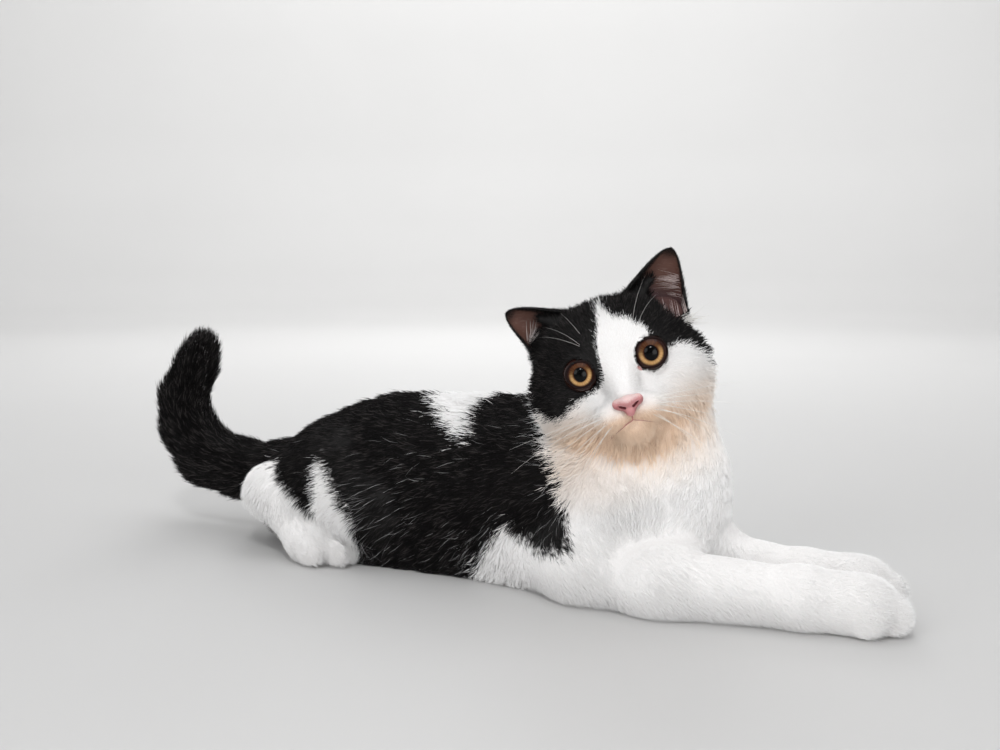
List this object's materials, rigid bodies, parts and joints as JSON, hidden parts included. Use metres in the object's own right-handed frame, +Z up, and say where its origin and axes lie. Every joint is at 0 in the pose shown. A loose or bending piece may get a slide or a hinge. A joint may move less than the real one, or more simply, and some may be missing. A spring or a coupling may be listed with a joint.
{
  "type": "domestic cat",
  "caption": "Life-size shorthair cat lying on its belly, forelegs stretched forward, head turned to its right and tilted, tail curled up.",
  "frame": {"origin": "on the floor under the middle of the trunk, on the flat under the belly", "axes": "+X towards the fore end of the trunk, along the stretched forelegs, +Y towards the cat's left, +Z up"},
  "size_m": [0.6096, 0.181, 0.2315],
  "materials": {
    "coat_black": "short dense black fur with a faint brown cast",
    "coat_white": "short dense white fur",
    "ear_skin": "thin dark pink skin inside the ears",
    "eye": "wet gloss, amber iris with a black pupil",
    "nose_leather": "fine pebbled pink leather",
    "whisker": "stiff white hair"
  },
  "bodies": {
    "root": {"head": "coat_white", "nose": "nose_leather", "ear_right": "coat_black", "ear_left": "coat_black", "eye_right": "eye", "eye_left": "eye", "neck": "coat_white", "torso": "coat_black", "tail_base": "coat_black", "tail_tip": "coat_black", "foreleg_right": "coat_white", "foreleg_left": "coat_white", "forepaw_right": "coat_white", "forepaw_left": "coat_white", "hind_leg_right": "coat_white", "hind_leg_left": "coat_white"}
  },
  "joints": []
}
